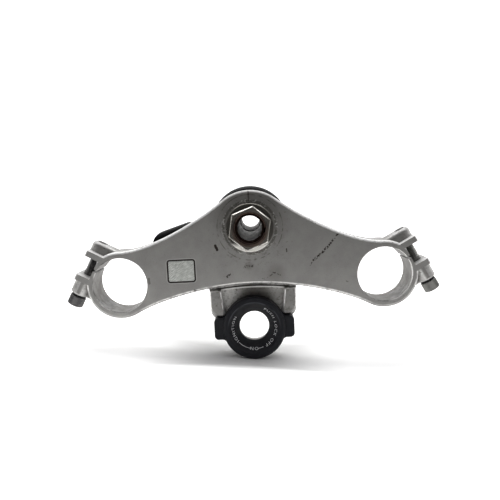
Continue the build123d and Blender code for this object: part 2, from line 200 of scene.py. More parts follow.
def grain_group():
    """Fine tooth of a cast, blasted or moulded surface, and slow patches of tone across it."""
    patch_share = 0.03
    outputs = {"Tooth": "Float", "Patches": "Float"}
    tree, start, end = start_group("Surface grain", {"Scale": "Float"}, outputs)
    place = object_place(tree)
    tooth = noise(tree, place, start["Scale"], 3.0)["Fac"]
    patch_scale = maths(tree, "MULTIPLY", start["Scale"], patch_share)
    patches = noise(tree, place, patch_scale, 5.0, 0.6)["Fac"]
    tree.links.new(tooth, end["Tooth"])
    tree.links.new(fade(tree, patches, 0.3, 0.7), end["Patches"])
    return tree


def edge_group():
    """The rounded edges between flat tops and upright walls, broken a little by wear."""
    tree, start, end = start_group("Rounded edges", {"Breaks": "Float"}, {"Edge": "Float"})
    upright = maths(tree, "ABSOLUTE", axes(tree, surface_normal(tree))["Z"])
    off_wall = fade(tree, upright, 0.12, 0.4)
    off_top = fade(tree, upright, 0.9985, 0.96)
    broken = noise(tree, object_place(tree), start["Breaks"], 4.0)["Fac"]
    worn = fade(tree, broken, 0.3, 0.55)
    tree.links.new(overlap(tree, off_wall, off_top, worn), end["Edge"])
    return tree


def grime_group():
    """Blotches of settled dirt, thicker where Amount is higher."""
    tree, start, end = start_group("Grime", {"Scale": "Float", "Amount": "Float"}, {"Dirt": "Float"})
    cloud = noise(tree, object_place(tree), start["Scale"], 6.0, 0.65)["Fac"]
    lifted = maths(tree, "ADD", cloud, start["Amount"])
    tree.links.new(fade(tree, lifted, 0.62, 0.82), end["Dirt"])
    return tree


def line_group():
    """A mark along a line from one point to another, with a wavering, broken edge."""
    waver = 0.0012
    thinnest = 0.00001
    sockets = {"From": "Vector", "To": "Vector", "Width": "Float", "Breaks": "Float", "Gaps": "Float"}
    tree, start, end = start_group("Line mark", sockets, {"Mark": "Float"})
    place = object_place(tree)
    wave = noise(tree, place, start["Breaks"], 3.0)
    sway = vectors(tree, "SUBTRACT", wave["Color"], (0.5, 0.5, 0.5))
    moved = vectors(tree, "ADD", place, scaled(tree, sway, waver))
    arm = vectors(tree, "SUBTRACT", moved, start["From"])
    run = vectors(tree, "SUBTRACT", start["To"], start["From"])
    along = vectors(tree, "DOT_PRODUCT", arm, run)
    full = vectors(tree, "DOT_PRODUCT", run, run)
    share = add_node(tree, "Clamp", {"Value": maths(tree, "DIVIDE", along, full)}).outputs[0]
    away = vectors(tree, "DISTANCE", arm, scaled(tree, run, share))
    kept = fade(tree, maths(tree, "SUBTRACT", wave["Fac"], start["Gaps"]), -0.04, 0.1)
    width = maths(tree, "MAXIMUM", maths(tree, "MULTIPLY", start["Width"], kept), thinnest)
    tree.links.new(fade(tree, maths(tree, "DIVIDE", away, width), 1.0, 0.55), end["Mark"])
    return tree


def ring_group():
    """A broken ring about an upright axis through Centre."""
    sockets = {"Centre": "Vector", "Radius": "Float", "Width": "Float", "Breaks": "Float", "Gaps": "Float"}
    tree, start, end = start_group("Ring mark", sockets, {"Mark": "Float"})
    place = object_place(tree)
    reach = axis_reach(tree, vectors(tree, "SUBTRACT", place, start["Centre"]))
    off_ring = maths(tree, "ABSOLUTE", maths(tree, "SUBTRACT", reach, start["Radius"]))
    band = fade(tree, maths(tree, "DIVIDE", off_ring, start["Width"]), 1.0, 0.2)
    wave = noise(tree, place, start["Breaks"], 4.0)["Fac"]
    kept = fade(tree, maths(tree, "SUBTRACT", wave, start["Gaps"]), -0.06, 0.12)
    tree.links.new(overlap(tree, band, kept), end["Mark"])
    return tree


grain = grain_group()
rounded_edges = edge_group()
grime = grime_group()
line_mark = line_group()
ring_mark = ring_group()

coat_grey = (0.35, 0.343, 0.33, 1.0)
coat_dull = (0.305, 0.298, 0.288, 1.0)
wall_shade_dull = (0.2, 0.195, 0.187, 1.0)
lug_dull = (0.16, 0.155, 0.147, 1.0)
floor_lit_pale = (0.7, 0.69, 0.67, 1.0)
scored_bright = (0.8, 0.79, 0.76, 1.0)
rubbed_and_highlight_pale = (0.86, 0.85, 0.83, 1.0)
lip_highlight_pale = (0.9, 0.89, 0.86, 1.0)
rear_highlight_white = (0.93, 0.925, 0.915, 1.0)
lug_highlight_pale = (0.95, 0.94, 0.92, 1.0)
dirt_and_shade_brown = (0.1, 0.092, 0.082, 1.0)
root_shadow_black = (0.04, 0.037, 0.034, 1.0)
bruise_and_shade_black = (0.03, 0.022, 0.02, 1.0)
coat_rough = 0.46
coat_metal = 0.92
unbroken = -1.0
hub_axis = (0.0, 0.0, 0.0)
hub_middle = (0.0, -0.006, 0.0)
clamp_axis = Vector((0.1045, -0.0413, 0.0))
bore_r = 0.0215
bore_lip_r = 0.0217
nose_axis = (0.0, -0.2621, 0.0)
nose_root_r = 0.2139
fillet_highlight_r = 0.2127
recess_round = 0.0012

casting, tree, shader = new_finish("Satin grey casting")
cast_grain = place_group(tree, grain, Scale=1900.0)
cast_edge = place_group(tree, rounded_edges, Breaks=160.0)["Edge"]
place = object_place(tree)
sideways, lengthways, height = axes(tree, place)
aside = maths(tree, "ABSOLUTE", sideways)
face_x, face_y, face_z = axes(tree, surface_normal(tree))
facing_up = fade(tree, face_z, 0.3, 0.7)
colour = mix_colour(tree, cast_grain["Patches"], coat_grey, coat_dull)

# Rounded edges painted pale, partly as worn coat and partly as painted highlight: strongest near the top and on
# the ears, dimmed on the clamps' front-facing edges.
near_top = fade(tree, height, -0.007, -0.004)
on_ears = fade(tree, aside, 0.122, 0.13)
edge_rub_and_highlight = shift(tree, 0.25, either(tree, near_top, on_ears), 0.5)
past_arm = fade(tree, aside, 0.075, 0.095)
before_ear = fade(tree, aside, 0.129, 0.124)
clamp_front = overlap(tree, past_arm, before_ear, fade(tree, face_y, 0.2, -0.4))
clamp_front_dimmed = shift(tree, 1.0, clamp_front, -0.9)
colour = lay(tree, colour, rubbed_and_highlight_pale, overlap(tree, edge_rub_and_highlight, cast_edge, clamp_front_dimmed))

# Painted highlight: the edges near the top that face the soft box, and the backs of the ears, are painted
# near-white.
towards_rider = fade(tree, face_y, 0.1, 0.4)
leaning_up = fade(tree, face_z, 0.05, 0.25)
top_rim = fade(tree, height, -0.006, -0.003)
ear_back = overlap(tree, fade(tree, aside, 0.108, 0.116), fade(tree, face_y, 0.4, 0.75))
rear_highlight = either(tree, overlap(tree, towards_rider, leaning_up, top_rim), ear_back)
colour = lay(tree, colour, rear_highlight_white, rear_highlight, 0.85)
# Painted shade: the walls below the top, outside the bracket, are darker.
low_wall_shade = overlap(tree, fade(tree, height, -0.004, -0.01), fade(tree, aside, 0.045, 0.06))
colour = lay(tree, colour, wall_shade_dull, low_wall_shade, 0.5)

on_floor = overlap(tree, fade(tree, height, -0.0135, -0.0146), facing_up)
off_middle = fade(tree, aside, 0.006, 0.02)
inside_lugs = fade(tree, aside, 0.045, 0.04)
# Painted light: the bracket floor between the lugs is made paler away from its middle.
colour = lay(tree, colour, floor_lit_pale, overlap(tree, off_middle, inside_lugs, on_floor), 0.6)

# Dark patches on the face: the first three are painted shade, behind the hub, in the middle of the bracket floor
# by the lock surround and at the right of that floor; the last two are stains.
dark_patches = (
    ((0.0, 0.012, 0.0), 0.036, 0.016, 0.4),
    ((0.003, -0.058, -0.015), 0.021, 0.006, 0.8),
    ((0.024, -0.056, -0.015), 0.012, 0.003, 0.4),
    ((0.018, -0.0365, 0.0), 0.012, 0.002, 0.3),
    ((-0.002, -0.0305, 0.0), 0.005, 0.001, 0.35),
)
for centre, rim, core, strength in dark_patches:
    dark_patch = fade(tree, vectors(tree, "DISTANCE", place, centre), rim, core)
    colour = lay(tree, colour, dirt_and_shade_brown, dark_patch, strength)

# Rings round the hub: the first is painted shadow round the washer, the second painted shade along the edge of
# the hub pad, the third a broken ring of bright scoring.
hub_rings = (
    (0.0206, 0.0016, 110.0, 0.36, 0.7, dirt_and_shade_brown),
    (0.0256, 0.0005, 240.0, 0.46, 0.75, dirt_and_shade_brown),
    (0.0209, 0.0019, 620.0, 0.56, 0.55, scored_bright),
)
for radius, width, breaks, gaps, strength, tint in hub_rings:
    ring = place_group(tree, ring_mark, Centre=hub_axis, Radius=radius, Width=width, Breaks=breaks, Gaps=gaps)
    colour = lay(tree, colour, tint, ring["Mark"], strength)

near_hub = fade(tree, vectors(tree, "DISTANCE", place, hub_middle), 0.045, 0.018)
hub_dirt = place_group(tree, grime, Scale=300.0, Amount=maths(tree, "MULTIPLY", near_hub, 0.1))["Dirt"]
colour = lay(tree, colour, dirt_and_shade_brown, hub_dirt, 0.5)
# Grime below the top, thicker on the bracket floor; it also stands for painted shade on the lower parts.
below_top = fade(tree, height, -0.004, -0.009)
low_dirt_and_shade = place_group(tree, grime, Scale=330.0, Amount=maths(tree, "MULTIPLY", below_top, 0.15))["Dirt"]
on_bracket = overlap(tree, inside_lugs, fade(tree, lengthways, -0.044, -0.048), facing_up)
colour = lay(tree, colour, dirt_and_shade_brown, low_dirt_and_shade, shift(tree, 0.2, on_bracket, 0.5))

bruises = (
    ((0.0002, 0.0208), (0.0, 0.0284), 0.0009, 260.0, 0.25, 0.6),
    ((-0.0277, -0.0132), (-0.0263, -0.0165), 0.0013, 600.0, 0.1, 0.97),
    ((0.0684, -0.0082), (0.0625, -0.0153), 0.0009, 620.0, 0.48, 0.95),
    ((0.0625, -0.0153), (0.0557, -0.0224), 0.0012, 700.0, 0.45, 0.97),
    ((0.0557, -0.0224), (0.0490, -0.0278), 0.0012, 760.0, 0.45, 0.95),
    ((0.0490, -0.0278), (0.0460, -0.0318), 0.0008, 600.0, 0.47, 0.9),
    ((0.0279, -0.0181), (0.0280, -0.0201), 0.0007, 600.0, 0.2, 0.8),
    ((-0.0196, -0.0381), (-0.0167, -0.0362), 0.0012, 700.0, 0.46, 0.8),
    ((-0.0057, -0.0308), (0.0010, -0.0304), 0.0013, 700.0, 0.48, 0.75),
    ((0.0124, -0.0398), (0.0199, -0.0356), 0.0006, 400.0, 0.46, 0.55),
    ((0.0148, -0.0354), (0.0226, -0.0385), 0.0006, 400.0, 0.46, 0.6),
    ((0.0079, -0.0407), (0.0110, -0.0412), 0.0005, 500.0, 0.46, 0.5),
    ((-0.0813, -0.0370), (-0.0810, -0.0410), 0.0011, 300.0, 0.38, 0.45),
    ((-0.0457, -0.0477), (-0.0450, -0.0484), 0.0011, 500.0, 0.3, 0.75),
    ((0.0670, -0.0541), (0.0678, -0.0547), 0.0010, 500.0, 0.3, 0.85),
    ((0.0742, -0.0456), (0.0750, -0.0458), 0.0008, 500.0, 0.35, 0.4),
)
for first, last, width, breaks, gaps, strength in bruises:
    mark = place_group(tree, line_mark, From=(*first, 0.0), To=(*last, 0.0), Width=width, Breaks=breaks,
                       Gaps=gaps)["Mark"]
    colour = lay(tree, colour, bruise_and_shade_black, mark, strength)

plate_low, plate_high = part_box("name_plate")
plate_half = (plate_high - plate_low) / 2.0
off_plate = vectors(tree, "SUBTRACT", place, (plate_low + plate_high) / 2.0)
off_plate = axes(tree, vectors(tree, "ABSOLUTE", off_plate))
beside = maths(tree, "MAXIMUM", maths(tree, "SUBTRACT", off_plate["X"], plate_half.x - recess_round), 0.0)
beyond = maths(tree, "MAXIMUM", maths(tree, "SUBTRACT", off_plate["Y"], plate_half.y - recess_round), 0.0)
corner = add_node(tree, "CombineXYZ", {"X": beside, "Y": beyond}).outputs[0]
from_plate = maths(tree, "SUBTRACT", vectors(tree, "LENGTH", corner), recess_round)
at_top = fade(tree, height, -0.002, -0.0012)
# Painted highlight: a thin pale line round the rim of the plate's recess.
recess_rim_highlight = overlap(tree, fade(tree, from_plate, 0.0021, 0.0017), at_top)
colour = lay(tree, colour, rubbed_and_highlight_pale, recess_rim_highlight, 0.3)
# Painted shade: the recess round the plate is painted near-black.
recess_shade = overlap(tree, fade(tree, from_plate, 0.00145, 0.0012), at_top)
colour = lay(tree, colour, bruise_and_shade_black, recess_shade, 0.95)

bore_dirt = place_group(tree, grime, Scale=130.0, Amount=0.22)["Dirt"]
on_top = fade(tree, height, -0.002, -0.001)
for sign in (-1.0, 1.0):
    bore_axis = (sign * clamp_axis.x, clamp_axis.y, 0.0)
    wall = place_group(tree, ring_mark, Centre=bore_axis, Radius=bore_r, Width=0.0008, Breaks=90.0,
                       Gaps=unbroken)["Mark"]
    colour = lay(tree, colour, dirt_and_shade_brown, wall, 0.5)
    colour = lay(tree, colour, dirt_and_shade_brown, overlap(tree, wall, bore_dirt), 0.8)
    # Painted highlight: a broken pale line along the top edge of each bore.
    lip_highlight = place_group(tree, ring_mark, Centre=bore_axis, Radius=bore_lip_r, Width=0.0005, Breaks=45.0,
                      Gaps=0.48)["Mark"]
    colour = lay(tree, colour, lip_highlight_pale, overlap(tree, lip_highlight, on_top))

lug_gap = overlap(tree, fade(tree, aside, 0.029, 0.0305), on_floor)
# Painted shadow: a dark line on the bracket floor at the foot of the plate's front wall, left out in the gaps
# beside the lugs.
root = place_group(tree, ring_mark, Centre=nose_axis, Radius=nose_root_r, Width=0.0011, Breaks=60.0,
                   Gaps=unbroken)["Mark"]
colour = lay(tree, colour, root_shadow_black, overlap(tree, root, maths(tree, "SUBTRACT", on_floor, lug_gap)))
# Painted highlight: a broken pale line on the bracket floor along the foot of the front wall.
fillet_highlight = place_group(tree, ring_mark, Centre=nose_axis, Radius=fillet_highlight_r, Width=0.0008, Breaks=120.0,
                     Gaps=0.3)["Mark"]
colour = lay(tree, colour, rubbed_and_highlight_pale, overlap(tree, fillet_highlight, on_floor), 0.8)

on_lugs = fade(tree, aside, 0.042, 0.039)
lug_top = overlap(tree, fade(tree, height, -0.0095, -0.0085), fade(tree, height, -0.0065, -0.0075), on_lugs)
colour = lay(tree, colour, lug_dull, lug_top, 0.35)
# Painted highlight along the lugs' rounded rims, behind the lock surround.
lug_rim_highlight = overlap(tree, fade(tree, height, -0.0102, -0.0095), fade(tree, height, -0.0074, -0.0079), on_lugs)
behind_ring = fade(tree, lengthways, -0.067, -0.064)
colour = lay(tree, colour, lug_highlight_pale, overlap(tree, lug_rim_highlight, behind_ring, cast_edge))
# Painted light: the lugs' inner walls and the floor in the gaps beside them are painted pale.
inwards = maths(tree, "MULTIPLY", face_x, maths(tree, "SIGN", sideways))
between_lugs = fade(tree, aside, 0.03, 0.0285)
before_plate = fade(tree, lengthways, -0.05, -0.052)
lug_wall_light = overlap(tree, fade(tree, inwards, -0.4, -0.8), between_lugs, before_plate)
lug_painted_light = either(tree, lug_wall_light, lug_gap)
colour = lay(tree, colour, lug_highlight_pale, lug_painted_light)
# Where painted highlight and painted light lie, the coat is made much less metallic.
painted_light_areas = either(tree, lug_painted_light, rear_highlight)
tree.links.new(shift(tree, coat_metal, painted_light_areas, -0.7), shader.inputs["Metallic"])

specks = fade(tree, noise(tree, place, 1500.0, 2.0)["Fac"], 0.63, 0.7)
colour = lay(tree, colour, dirt_and_shade_brown, specks, 0.35)
nicks = fade(tree, noise(tree, place, 620.0, 3.0)["Fac"], 0.6, 0.68)
colour = lay(tree, colour, dirt_and_shade_brown, overlap(tree, nicks, cast_edge), 0.6)
rough = shift(tree, coat_rough, cast_grain["Patches"], 0.08)
rough = shift(tree, rough, cast_edge, -0.1)
surface(tree, shader, colour, rough, cast_grain["Tooth"], 0.12)
dress(casting, "top_yoke")


# Stem nut and washer: a plated steel hexagon nut pulled down on a plain turned washer. The plating is worn
# to bright steel on the corners, partly as painted highlight, and a painted highlight lies on the front of the
# washer.
# The mouth of the thread is stained brown where water has stood and painted lighter on its front side as light
# falling into it. The nut's thread is painted near-black as grease and shade.
plated_fair = (0.24, 0.228, 0.204, 1.0)
plated_dull = (0.15, 0.142, 0.126, 1.0)
washer_dull = (0.12, 0.115, 0.104, 1.0)
washer_highlight_pale = (0.94, 0.92, 0.87, 1.0)
corner_wear_and_highlight = (0.84, 0.82, 0.77, 1.0)
mouth_grey = (0.27, 0.252, 0.232, 1.0)
mouth_lit_brown = (0.5, 0.385, 0.33, 1.0)
rust_brown = (0.11, 0.07, 0.05, 1.0)
thread_grease_and_shade = (0.03, 0.019, 0.014, 1.0)
plated_rough = 0.24
nut_foot = 0.0036
washer_face = 0.0033
plated, tree, shader = new_finish("Worn plated steel", Metallic=1.0)
plated_grain = place_group(tree, grain, Scale=1500.0)
plated_edge = place_group(tree, rounded_edges, Breaks=300.0)["Edge"]
rust = place_group(tree, grime, Scale=380.0, Amount=0.04)["Dirt"]
place = object_place(tree)
lengthways = axes(tree, place)["Y"]
height = axes(tree, place)["Z"]
reach = axis_reach(tree, place)
colour = mix_colour(tree, plated_grain["Patches"], plated_fair, plated_dull)
on_washer = fade(tree, height, nut_foot, washer_face)
on_nut = fade(tree, height, washer_face, nut_foot)
# Painted highlight: the front crescent of the washer is painted pale.
washer_front_highlight = overlap(tree, fade(tree, lengthways, -0.0105, -0.015), on_washer)
colour = lay(tree, colour, washer_dull, on_washer)
colour = lay(tree, colour, washer_highlight_pale, washer_front_highlight)
# Corners worn bright, partly as painted highlight; kept faint on the left and right flanks.
off_flank = shift(tree, 0.1, fade(tree, maths(tree, "ABSOLUTE", lengthways), 0.006, 0.0095), 0.9)
colour = lay(tree, colour, corner_wear_and_highlight, overlap(tree, plated_edge, on_nut, off_flank))
in_mouth = fade(tree, reach, 0.0143, 0.0138)
# The mouth of the thread: a brown stain, painted lighter towards the front as painted light on the side of the
# funnel that faces the lamp.
mouth_stain_and_light = mix_colour(tree, fade(tree, lengthways, 0.004, -0.009), mouth_grey, mouth_lit_brown)
colour = lay(tree, colour, mouth_stain_and_light, in_mouth)
colour = lay(tree, colour, rust_brown, rust, 0.7)
# The nut's bore is painted near-black, as grease and as painted shade inside the thread.
in_thread = fade(tree, reach, 0.0127, 0.0121)
colour = lay(tree, colour, thread_grease_and_shade, in_thread)
rough = shift(tree, plated_rough, plated_grain["Patches"], 0.16)
for mask, step in ((washer_front_highlight, 0.3), (in_mouth, 0.2), (in_thread, 0.15)):
    rough = shift(tree, rough, mask, step)
surface(tree, shader, colour, rough, plated_grain["Tooth"], 0.1)
dress(plated, "stem_nut", "stem_washer")


# Thread of the stem nut: the turns of the nut's own thread, cut in its bore and open above the stem's end.
# They are dark with old grease and rust.
def make_object(name, shape, material):
    """The shape as an object of the scene with one material."""
    mesh = bpy.data.meshes.new(name)
    shape.to_mesh(mesh)
    shape.free()
    mesh.materials.append(material)
    made = bpy.data.objects.new(name, mesh)
    bpy.context.scene.collection.objects.link(made)
    return made


def keep_piece(name, shape, material):
    """The shape becomes a piece of the object that rides on its one body."""
    bmesh.ops.recalc_face_normals(shape, faces=shape.faces)
    piece = make_object(name, shape, material)
    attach(piece, "root")
    return piece


def add_thread(shape, root_r, crest_r, start_z, pitch, turns, steps):
    """A thread added to the shape about the Z axis: one turn's profile spun up the helix."""
    profile = ((root_r, 0.0), (crest_r, 0.44), (crest_r, 0.56), (root_r, 1.0))
    points = [shape.verts.new((r, 0.0, start_z + share * pitch)) for r, share in profile]
    edges = [shape.edges.new(pair) for pair in zip(points, points[1:])]
    bmesh.ops.spin(shape, geom=points + edges, cent=(0.0, 0.0, 0.0), axis=(0.0, 0.0, 1.0),
                   dvec=Vector((0.0, 0.0, pitch / steps)), angle=2.0 * pi * turns,
                   steps=round(turns * steps), use_merge=False)


grease_brown = (0.07, 0.045, 0.035, 1.0)
grease_black = (0.02, 0.013, 0.01, 1.0)
grease_rough = 0.4
thread_root_r = 0.0121
thread_crest_r = 0.0114
thread_gap = 0.0001
weld = 0.000002
greasy, tree, shader = new_finish("Greasy thread", Metallic=0.8)
thread_dirt = place_group(tree, grime, Scale=500.0, Amount=0.12)["Dirt"]
colour = mix_colour(tree, thread_dirt, grease_brown, grease_black)
tree.links.new(colour, shader.inputs["Base Color"])
tree.links.new(shift(tree, grease_rough, thread_dirt, 0.25), shader.inputs["Roughness"])
stem_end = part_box("steering_stem")[1].z
nut_thread = bmesh.new()
add_thread(nut_thread, thread_root_r, thread_crest_r, stem_end + thread_gap, pitch=0.001, turns=0.95, steps=96)
bmesh.ops.remove_doubles(nut_thread, verts=nut_thread.verts, dist=weld)
keep_piece("nut_thread", nut_thread, greasy)


# Steering stem with its ring nut and claw washer: a turned steel tube, bored through and stepped, which carries
# the bearings below the hub. Its bore is dull with a film of old oil; painted shade darkens it past the step and
# darkens the stem's end face, and painted highlights mark a band above the step and a streak down its left wall.
def drawn_noise(tree, place, scale, detail):
    """A cloudy pattern drawn out along one axis, with its own scale on each."""
    drawn_place = add_node(tree, "Mapping", {"Vector": place, "Scale": scale}).outputs[0]
    return noise(tree, drawn_place, 1.0, detail)["Fac"]


stem_fair = (0.36, 0.347, 0.328, 1.0)
stem_dull = (0.27, 0.26, 0.244, 1.0)
oil_brown = (0.16, 0.125, 0.1, 1.0)
film_grey = (0.27, 0.258, 0.245, 1.0)
film_shaded_deep = (0.12, 0.116, 0.11, 1.0)
streak_black = (0.05, 0.045, 0.04, 1.0)
step_highlight_pale = (0.8, 0.78, 0.75, 1.0)
wall_glint_pale = (0.95, 0.94, 0.91, 1.0)
end_shade_black = (0.022, 0.014, 0.011, 1.0)
turned_rough = 0.2
turning_depth = 0.0001
glint_top = (-0.0091, -0.0027, -0.03)
glint_foot = (-0.0082, -0.0047, -0.11)
turned, tree, shader = new_finish("Oily turned steel")
stem_patches = place_group(tree, grain, Scale=900.0)["Patches"]
oil = place_group(tree, grime, Scale=150.0, Amount=0.03)["Dirt"]
place = object_place(tree)
height = axes(tree, place)["Z"]
turning = drawn_noise(tree, place, (60.0, 60.0, 2600.0), 2.0)
streaks = fade(tree, drawn_noise(tree, place, (260.0, 260.0, 60.0), 4.0), 0.58, 0.46)
colour = mix_colour(tree, stem_patches, stem_fair, stem_dull)
colour = lay(tree, colour, oil_brown, oil, 0.6)
in_bore = fade(tree, axis_reach(tree, place), 0.0099, 0.0097)
past_step = fade(tree, height, -0.0895, -0.0905)
before_step = maths(tree, "SUBTRACT", 1.0, past_step)
# Painted highlight: a pale band on the bore's wall just above the step.
step_highlight = overlap(tree, fade(tree, height, -0.066, -0.088), before_step)
# Painted highlight: a pale streak down the left wall of the bore.
wall_glint = place_group(tree, line_mark, From=glint_top, To=glint_foot, Width=0.0013, Breaks=200.0, Gaps=0.3)["Mark"]
# Painted shade: the oil film is darker past the step, deeper in the bore.
film = mix_colour(tree, past_step, film_grey, film_shaded_deep)
film = lay(tree, film, streak_black, streaks, 0.75)
film = lay(tree, film, step_highlight_pale, step_highlight, 0.5)
film = lay(tree, film, wall_glint_pale, wall_glint, 0.9)
colour = lay(tree, colour, film, in_bore)
# Painted shade: the stem's end face, down inside the nut, is painted near-black.
colour = lay(tree, colour, end_shade_black, fade(tree, height, 0.0050, 0.0078))
oily = overlap(tree, in_bore, past_step)
rough = shift(tree, turned_rough, turning, 0.3)
rough = shift(tree, shift(tree, rough, in_bore, 0.1), oily, 0.14)
metal = shift(tree, shift(tree, 1.0, in_bore, -0.12), oily, -0.3)
tree.links.new(metal, shader.inputs["Metallic"])
surface(tree, shader, colour, rough, turning, 0.15, turning_depth)
dress(turned, "steering_stem", "adjuster_nut", "lock_washer")


# Dust cap and hose guide: pressed steel painted satin black. Dust has settled on them, and the paint is
# rubbed thin along the rims.
paint_black = (0.006, 0.006, 0.0065, 1.0)
paint_faded = (0.011, 0.011, 0.0115, 1.0)
paint_dusty = (0.06, 0.085, 0.078, 1.0)
paint_thin = (0.07, 0.07, 0.07, 1.0)
paint_rough = 0.42
black_paint, tree, shader = new_finish("Satin black paint", Specular_IOR_Level=0.14)
paint_grain = place_group(tree, grain, Scale=1100.0)
paint_edge = place_group(tree, rounded_edges, Breaks=220.0)["Edge"]
paint_dust = place_group(tree, grime, Scale=120.0, Amount=0.05)["Dirt"]
colour = mix_colour(tree, paint_grain["Patches"], paint_black, paint_faded)
colour = lay(tree, colour, paint_dusty, paint_dust, 0.22)
colour = lay(tree, colour, paint_thin, paint_edge, 0.15)
rough = shift(tree, paint_rough, paint_grain["Patches"], 0.14)
surface(tree, shader, colour, rough, paint_grain["Tooth"], 0.1)
dress(black_paint, "dust_cap", "hose_guide")


# Pinch bolts on black washers: socket-head screws of blackened steel, with a knurled head, a plain neck and a
# rolled thread. They pull the ears of each clamp together on the fork tube. The screws behind the lock surround
# and the hose guide's bolt have the same blackened finish.
steel_black = (0.075, 0.075, 0.077, 1.0)
steel_faded = (0.115, 0.114, 0.112, 1.0)
steel_right_pale = (0.2, 0.2, 0.188, 1.0)
steel_dusty = (0.26, 0.245, 0.225, 1.0)
steel_worn = (0.4, 0.39, 0.38, 1.0)
steel_rough = 0.36
blackened, tree, shader = new_finish("Blackened steel", Metallic=1.0)
steel_grain = place_group(tree, grain, Scale=1300.0)
steel_edge = place_group(tree, rounded_edges, Breaks=420.0)["Edge"]
steel_dust = place_group(tree, grime, Scale=260.0, Amount=0.06)["Dirt"]
# The bolts on the right side are painted lighter.
right_side = fade(tree, axes(tree, object_place(tree))["X"], 0.0, 0.09)
colour = mix_colour(tree, steel_grain["Patches"], steel_black, steel_faded)
colour = lay(tree, colour, steel_right_pale, right_side)
colour = lay(tree, colour, steel_dusty, steel_dust, 0.6)
colour = lay(tree, colour, steel_worn, steel_edge, 0.2)
rough = shift(tree, steel_rough, steel_grain["Patches"], 0.2)
surface(tree, shader, colour, rough, steel_grain["Tooth"], 0.12)
dress(blackened, "left_ring_screw", "right_ring_screw", "hose_guide_bolt")
dress(black_paint, "left_pinch_washer", "right_pinch_washer")


def ring_of(shape, radius, height, segments):
    """A ring of edges about the Z axis, with the first point on +X."""
    made = bmesh.ops.create_circle(shape, cap_ends=False, segments=segments, radius=radius,
                                   matrix=Matrix.Translation((0.0, 0.0, height)))
    return [edge for edge in shape.edges if all(point in made["verts"] for point in edge.verts)]


def pinch_bolt_shape():
    """A pinch bolt standing on the Z axis, with the underside of its head at zero and its head below."""
    ribs = 48
    segments = 2 * ribs
    groove_share = 0.965
    socket_share = 0.97
    socket_r, head_r, neck_r, root_r, crest_r = 0.0031, 0.0064, 0.0040, 0.0034, 0.00398
    inside_head = head_r - 0.0001
    inside_mouth = socket_r + 0.0002
    thread_start = 0.0230
    rows = (
        (socket_r, -0.0040), (socket_r, -0.0079), (0.0034, -0.0080), (0.0056, -0.0080), (0.0062, -0.0077),
        (head_r, -0.0070), (head_r, -0.0004), (0.0061, 0.0), (neck_r, 0.0), (neck_r, 0.0225),
        (root_r, thread_start), (root_r, 0.0440), (0.0029, 0.0450),
    )
    bolt = bmesh.new()
    loops = [ring_of(bolt, radius, height, segments) for radius, height in rows]
    for lower, upper in zip(loops, loops[1:]):
        bmesh.ops.bridge_loops(bolt, edges=lower + upper)
    for loop in (loops[0], loops[-1]):
        bmesh.ops.contextual_create(bolt, geom=loop)
    for point in bolt.verts:
        turn = atan2(point.co.y, point.co.x)
        reach = point.co.xy.length
        if reach > inside_head:
            groove = round(turn / (2.0 * pi / segments)) % 2
            point.co.xy *= 1.0 if groove else groove_share
        if reach < inside_mouth and point.co.z < 0.0:
            off_flat = (turn % (pi / 3.0)) - pi / 6.0
            point.co.xy *= socket_share / cos(off_flat)
    add_thread(bolt, root_r, crest_r, thread_start, pitch=0.00125, turns=15.6, steps=40)
    bmesh.ops.remove_doubles(bolt, verts=bolt.verts, dist=weld)
    return bolt


clamp_turn = radians(28.3)
bolt_reach = 0.0288
bolt_height = -0.015
head_seat = -0.0258
for side, sign in (("left", -1.0), ("right", 1.0)):
    outwards = Vector((sign * cos(clamp_turn), sin(clamp_turn), 0.0))
    bolt_axis = Vector((-sign * sin(clamp_turn), cos(clamp_turn), 0.0))
    bore_middle = Vector((sign * clamp_axis.x, clamp_axis.y, bolt_height))
    seat = bore_middle + outwards * bolt_reach + bolt_axis * head_seat
    stand = Matrix((outwards, bolt_axis.cross(outwards), bolt_axis)).transposed().to_4x4()
    bolt = pinch_bolt_shape()
    bmesh.ops.transform(bolt, matrix=Matrix.Translation(seat) @ stand, verts=bolt.verts)
    piece = keep_piece(side + "_pinch_bolt_turned", bolt, blackened)
    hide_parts(side + "_pinch_bolt")


# Lock surround: a deep ring of black moulded plastic with two ears and a dished face round the hole for the lock.
# Its rim is lightly scuffed, the key positions are printed in white on the dish, and a painted highlight
# runs round the rider's side of the dish's mouth.
mould_black = (0.0062, 0.0068, 0.0098, 1.0)
mould_faded = (0.0098, 0.0105, 0.0142, 1.0)
mould_dusty = (0.05, 0.05, 0.052, 1.0)
mould_scuffed = (0.1, 0.1, 0.105, 1.0)
mould_highlight = (0.2, 0.21, 0.23, 1.0)
mould_rough = 0.4
dish_axis = Vector((0.0, -0.081, 0.0))
dish_top = -0.0015
dish_mouth = 0.0205
dish_slope = 11.0 / 8.5
mouth_highlight_r = 0.0209
moulded, tree, shader = new_finish("Black moulded plastic", Specular_IOR_Level=0.2)
mould_grain = place_group(tree, grain, Scale=1700.0)
mould_edge = place_group(tree, rounded_edges, Breaks=180.0)["Edge"]
mould_dust = place_group(tree, grime, Scale=170.0, Amount=0.02)["Dirt"]
mouth_highlight = place_group(tree, ring_mark, Centre=dish_axis, Radius=mouth_highlight_r, Width=0.0007, Breaks=50.0,
                         Gaps=0.4)["Mark"]
rider_side = fade(tree, axes(tree, object_place(tree))["Y"], -0.084, -0.07)
colour = mix_colour(tree, mould_grain["Patches"], mould_black, mould_faded)
colour = lay(tree, colour, mould_dusty, mould_dust, 0.2)
colour = lay(tree, colour, mould_scuffed, mould_edge, 0.1)
